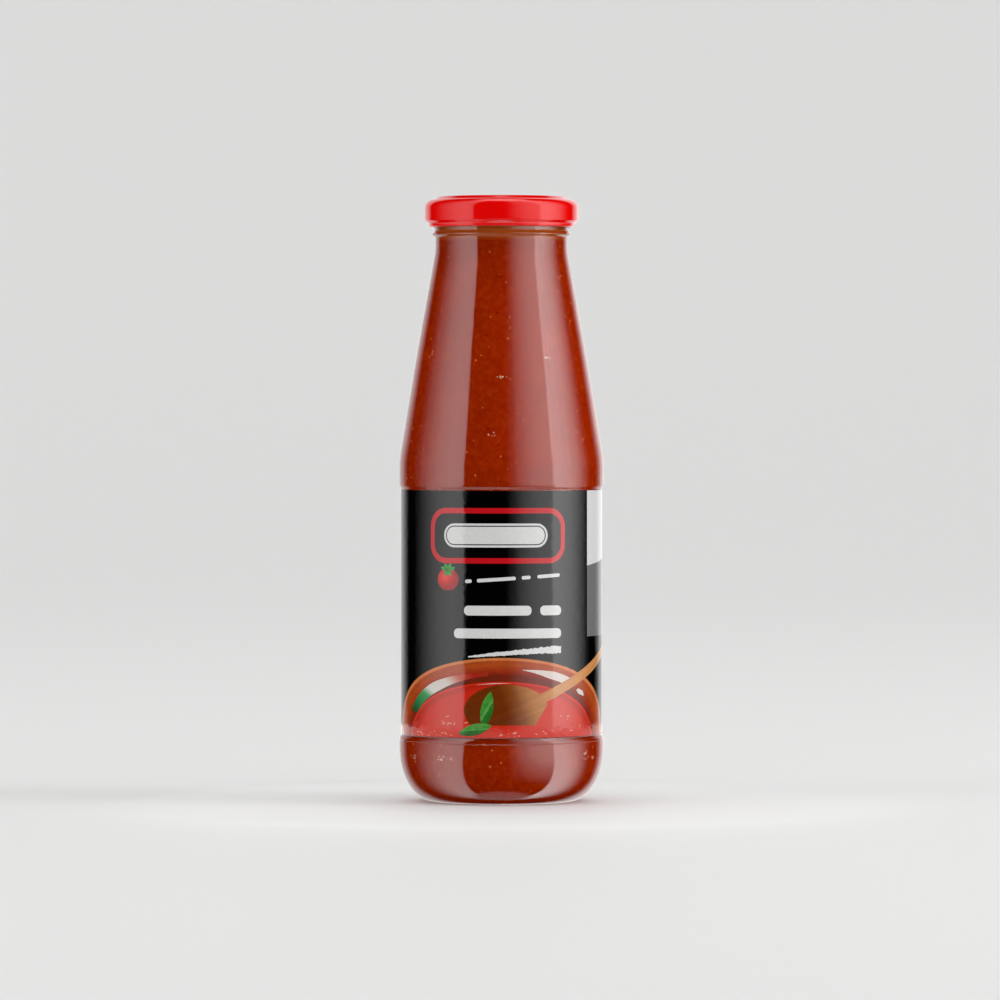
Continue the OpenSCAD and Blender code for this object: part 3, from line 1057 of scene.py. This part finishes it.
def leafInk(name, leaf):
    material, tree, shader = paperSurface(name, (0.05, 0.3, 0.03))
    across = flatPlace(tree, leaf["centre"], leaf["size"], leaf["turn"])
    share = addMath(tree, "MULTIPLY_ADD", splitAxes(tree, across)["Y"], 0.5, 0.5)
    tone = ramp(tree, share, [
        (0.1, (0.008, 0.085, 0.006)), (0.44, (0.022, 0.19, 0.018)), (0.5, (0.13, 0.36, 0.09)),
        (0.56, (0.04, 0.25, 0.025)), (0.9, (0.10, 0.34, 0.06)),
    ])
    veins = ramp(tree, objectNoise(tree, 800, 2, 0.5), [(0.3, 0.8), (0.7, 1.2)])
    tree.links.new(mixColours(tree, 1.0, tone, veins, "MULTIPLY"), shader.inputs["Base Color"])
    return material


def buildBowl():
    b = bowl
    foot = ((0, b["foot"]), (0, -1))
    bm = bmesh.new()
    disc(bm, b["centre"], b["size"], 160)
    trimFlat(bm, *foot)
    windOn(bm, "printBowl", clayInk(), 1)

    bm = bmesh.new()
    disc(bm, b["sauceCentre"], b["sauceSize"], 140)
    trimFlat(bm, *foot)
    windOn(bm, "printSauce", sauceInk(), 2)

    bm = bmesh.new()
    arcBand(bm, b["centre"], b["size"], *b["stripes"])
    windOn(bm, "printStripes", flagInk(), 3)

    bm = bmesh.new()
    for band in b["shines"]:
        arcBand(bm, b["centre"], b["size"], *band)
    windOn(bm, "printRimShine", printInk("shineInk", (0.72, 0.62, 0.58)), 2)

    bm = bmesh.new()
    disc(bm, b["spoonCentre"], b["spoonSize"], 90)
    trimFlat(bm, (0, b["spoonDip"]), (0, -1))
    trimFlat(bm, b["spoonHeel"], (0.84, -0.54))
    windOn(bm, "printSpoonBowl", woodInk(), 3)
    bm = bmesh.new()
    (x0, y0), (x1, y1) = b["handleFrom"], b["handleTo"]
    tilt = math.degrees(math.atan2(y1 - y0, x1 - x0))
    roundedBar(bm, ((x0 + x1) / 2, (y0 + y1) / 2), math.hypot(x1 - x0, y1 - y0),
               b["handleWidth"], b["handleWidth"] * 0.42, tilt)
    windOn(bm, "printSpoonHandle", woodInk(), 4)

    for layer, (name, leaf) in enumerate((("printLeafUp", b["leafUp"]),
                                          ("printLeafAlong", b["leafAlong"]))):
        bm = bmesh.new()
        disc(bm, leaf["centre"], leaf["size"], 40, leaf["turn"], 0.8)
        trimFlat(bm, *foot)
        windOn(bm, name, leafInk(name + "Ink", leaf), 5 + layer)

    # pale flecks of pulp on the sauce
    chance = random.Random(11)
    bm = bmesh.new()
    for x, y, count in b["flecks"]:
        for _ in range(count):
            at = (x + chance.gauss(0, 2.3), max(b["foot"] + 0.4, y + chance.gauss(0, 0.8)))
            size = chance.uniform(0.12, 0.34)
            disc(bm, at, (size * chance.uniform(1, 3.2), size * 0.6), 10, chance.uniform(-50, 50))
    windOn(bm, "printFlecks", printInk("fleckInk", (0.72, 0.32, 0.22), 0.2), 3)


buildBowl()
print("bowl picture ready")


# the pale panel round the label's side
panel = {"from": 37.6, "to": 96.0, "foot": 62.0, "top": 115.95, "greyTop": (88.2, 95.5)}


def buildPanel():
    s = panel
    run = s["to"] - s["from"]
    centre = ((s["from"] + s["to"]) / 2, (s["foot"] + s["top"]) / 2)
    bm = bmesh.new()
    roundedBar(bm, centre, run, s["top"] - s["foot"], 0)
    windOn(bm, "printPanel", panelInk, 1)
    bm = bmesh.new()
    roundedBar(bm, centre, run, s["top"] - s["foot"], 0)
    rise = s["greyTop"][1] - s["greyTop"][0]
    trimFlat(bm, (s["from"], s["greyTop"][0]), (-rise / run, 1))
    windOn(bm, "printPanelGrey", greyInk, 2)


buildPanel()
print("side panel ready")
